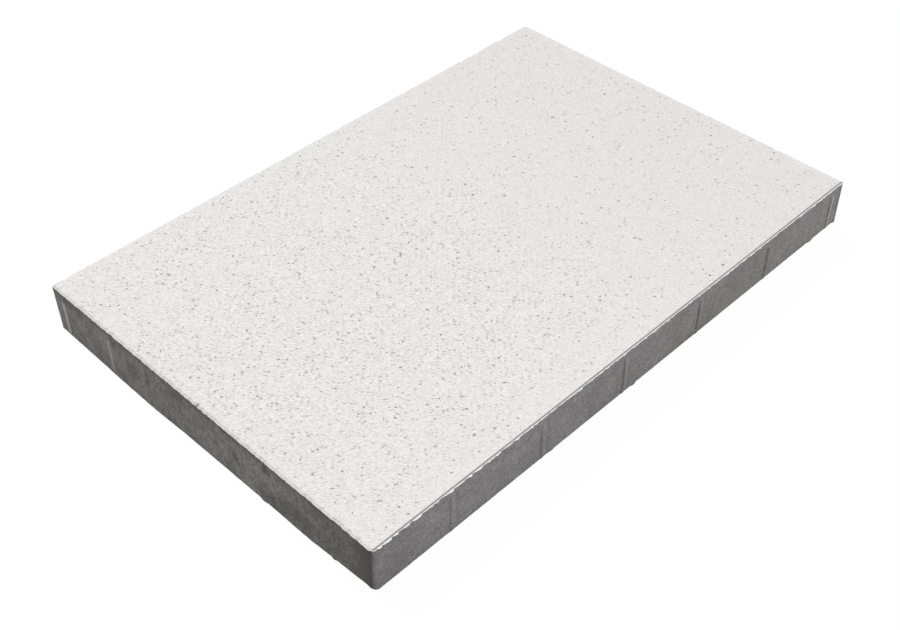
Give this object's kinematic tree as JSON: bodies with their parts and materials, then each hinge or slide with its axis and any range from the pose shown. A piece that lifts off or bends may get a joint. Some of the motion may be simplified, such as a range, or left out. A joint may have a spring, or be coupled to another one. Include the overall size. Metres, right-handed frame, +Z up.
{
  "type": "concrete paving slab",
  "caption": "Rectangular concrete paving slab with a pale pitted walking face, a low bevelled rim and small upright spacer ribs on its sides.",
  "frame": {"origin": "centre of the bed, the flat underside that the slab lies on", "axes": "+X along the length, +Y across the width, +Z up from the bed to the walking face"},
  "size_m": [0.6, 0.4, 0.05],
  "materials": {
    "concrete": "matt blasted white face on plain grey sides"
  },
  "bodies": {
    "root": {"slab": "concrete"}
  },
  "joints": []
}
